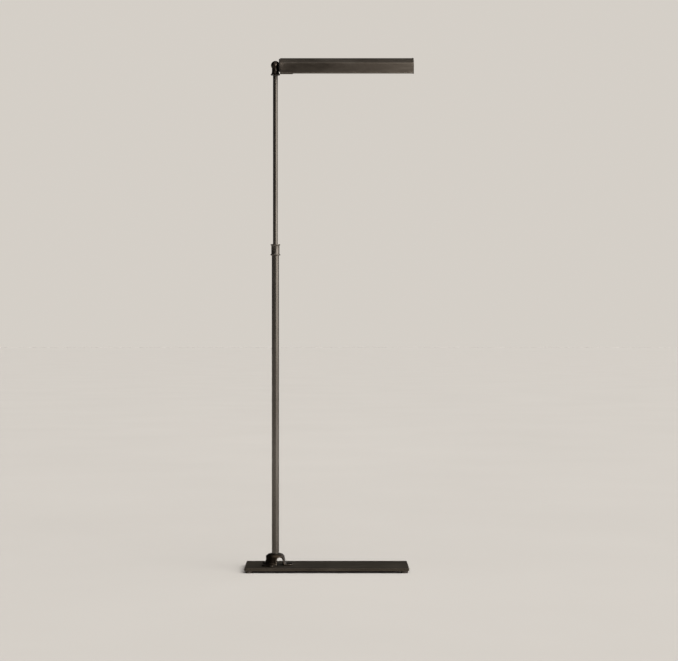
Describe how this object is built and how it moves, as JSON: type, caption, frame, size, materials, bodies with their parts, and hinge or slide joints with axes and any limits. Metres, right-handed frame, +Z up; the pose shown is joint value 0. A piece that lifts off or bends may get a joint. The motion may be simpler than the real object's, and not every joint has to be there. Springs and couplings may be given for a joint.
{
  "type": "pharmacy floor lamp",
  "caption": "Floor lamp with a flat rectangular base, a telescoping pole on a three-legged cast bracket, and a long trough shade on a swivelling, tilting head.",
  "frame": {"origin": "on the floor, at the middle of the lamp's length and depth", "axes": "+Z up; +X along the base plate and the shade, away from the pole; +Y towards the back; the front is -Y"},
  "size_m": [0.438, 0.15, 1.338],
  "materials": {
    "plate_bronze": "aged bronze finish on steel plate, satin",
    "shade_bronze": "aged bronze finish on sheet steel, mottled satin",
    "cast_bronze": "cast and blackened, polished on its edges",
    "tube_bronze": "dark bronze plated tube, semi-gloss",
    "head_bronze": "turned brass, dark oil-rubbed finish",
    "zinc_steel": "zinc plated",
    "foot_rubber": "matt",
    "disc_fibre": "matt",
    "nylon": "natural",
    "phenolic": "moulded, semi-gloss",
    "brass": "satin",
    "clear_glass": "clear blown glass",
    "filament_steel": "wire",
    "reflector_white": "satin white enamel",
    "lead_cover": "insulated lead"
  },
  "bodies": {
    "base": {"base_plate": "plate_bronze", "foot_front_left": "foot_rubber", "foot_front_right": "foot_rubber", "foot_rear_left": "foot_rubber", "foot_rear_right": "foot_rubber", "foot_screws": "zinc_steel", "stem_bracket": "cast_bronze", "bracket_screws": "zinc_steel", "cord_bushing": "nylon", "lower_tube": "tube_bronze", "tube_plug": "zinc_steel", "base_nipple": "zinc_steel", "nipple_washer": "zinc_steel", "nipple_nut": "zinc_steel", "mast_collet": "nylon"},
    "lock_collar": {"lock_collar": "tube_bronze"},
    "mast": {"upper_tube": "tube_bronze", "guide_bush": "nylon", "mast_cap": "head_bronze"},
    "head": {"swivel_head": "head_bronze", "neck_set_screw": "head_bronze", "pivot_nipple": "zinc_steel", "friction_disc": "disc_fibre", "inner_washer": "nylon", "stop_washer": "zinc_steel", "spring_washer": "zinc_steel", "pivot_nut": "zinc_steel"},
    "shade": {"shade_shell": "shade_bronze", "inner_end_plate": "shade_bronze", "stop_pin": "zinc_steel", "outer_end_cap": "shade_bronze", "housing_cover": "shade_bronze", "cover_screws": "zinc_steel", "socket_bracket": "zinc_steel", "lamp_socket": "phenolic", "socket_ring": "phenolic", "socket_shell": "brass", "socket_contact": "brass", "bulb_base": "brass", "bulb_glass": "clear_glass", "bulb_filament": "filament_steel", "reflector": "reflector_white", "switch_body": "phenolic", "switch_nut": "zinc_steel", "switch_leads": "lead_cover"},
    "switch_button": {"switch_button": "brass"}
  },
  "joints": [
    {"name": "collar_twist", "type": "hinge", "parent": "base", "child": "lock_collar", "pos_m": [-0.141, 0, 0.8345], "axis": [0, 0, 1], "range_deg": [0, 180]},
    {"name": "mast_slide", "type": "slide", "parent": "base", "child": "mast", "axis": [0, 0, 1], "range_m": [-0.425, 0.12]},
    {"name": "head_swivel", "type": "hinge", "parent": "mast", "child": "head", "pos_m": [-0.141, 0, 1.3024], "axis": [0, 0, 1], "range_deg": [-170, 170]},
    {"name": "shade_tilt", "type": "hinge", "parent": "head", "child": "shade", "pos_m": [-0.141, 0, 1.3162], "axis": [1, 0, 0], "range_deg": [-95, 80]},
    {"name": "switch_press", "type": "slide", "parent": "shade", "child": "switch_button", "axis": [0, -0.9848, -0.1736], "range_m": [0, 0.0015], "stiffness_N_per_m": 700, "springref_m": -0.001}
  ]
}
